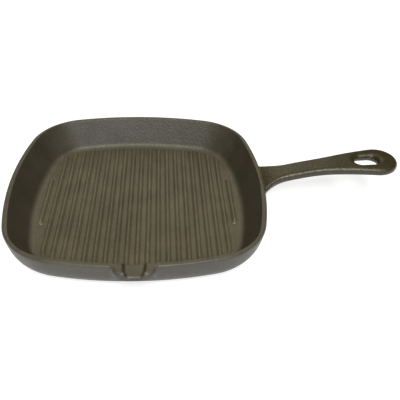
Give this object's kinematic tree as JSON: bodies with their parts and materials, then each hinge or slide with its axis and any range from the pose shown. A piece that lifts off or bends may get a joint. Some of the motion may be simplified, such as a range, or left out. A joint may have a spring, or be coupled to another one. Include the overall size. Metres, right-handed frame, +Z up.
{
  "type": "grill pan",
  "caption": "Square cast-iron grill pan with raised ribs, a pouring lip in front and one cast handle with a hanging hole.",
  "frame": {"origin": "middle of the flat base, on the surface that the pan stands on", "axes": "+Z up, +X from the pan's middle along the handle, -Y towards the pouring lip"},
  "size_m": [0.4001, 0.2693, 0.0615],
  "materials": {
    "seasoned_iron": "seasoned cast iron, satin, with fine casting grain"
  },
  "bodies": {
    "root": {"pan_floor": "seasoned_iron", "side_wall": "seasoned_iron", "pour_spout": "seasoned_iron", "handle": "seasoned_iron", "grill_rib_01": "seasoned_iron", "grill_rib_02": "seasoned_iron", "grill_rib_03": "seasoned_iron", "grill_rib_04": "seasoned_iron", "grill_rib_05": "seasoned_iron", "grill_rib_06": "seasoned_iron", "grill_rib_07": "seasoned_iron", "grill_rib_08": "seasoned_iron", "grill_rib_09": "seasoned_iron", "grill_rib_10": "seasoned_iron", "grill_rib_11": "seasoned_iron", "grill_rib_12": "seasoned_iron", "grill_rib_13": "seasoned_iron", "grill_rib_14": "seasoned_iron", "grill_rib_15": "seasoned_iron", "grill_rib_16": "seasoned_iron", "grill_rib_17": "seasoned_iron", "grill_rib_18": "seasoned_iron", "grill_rib_19": "seasoned_iron", "grill_rib_20": "seasoned_iron", "grill_rib_21": "seasoned_iron"}
  },
  "joints": []
}
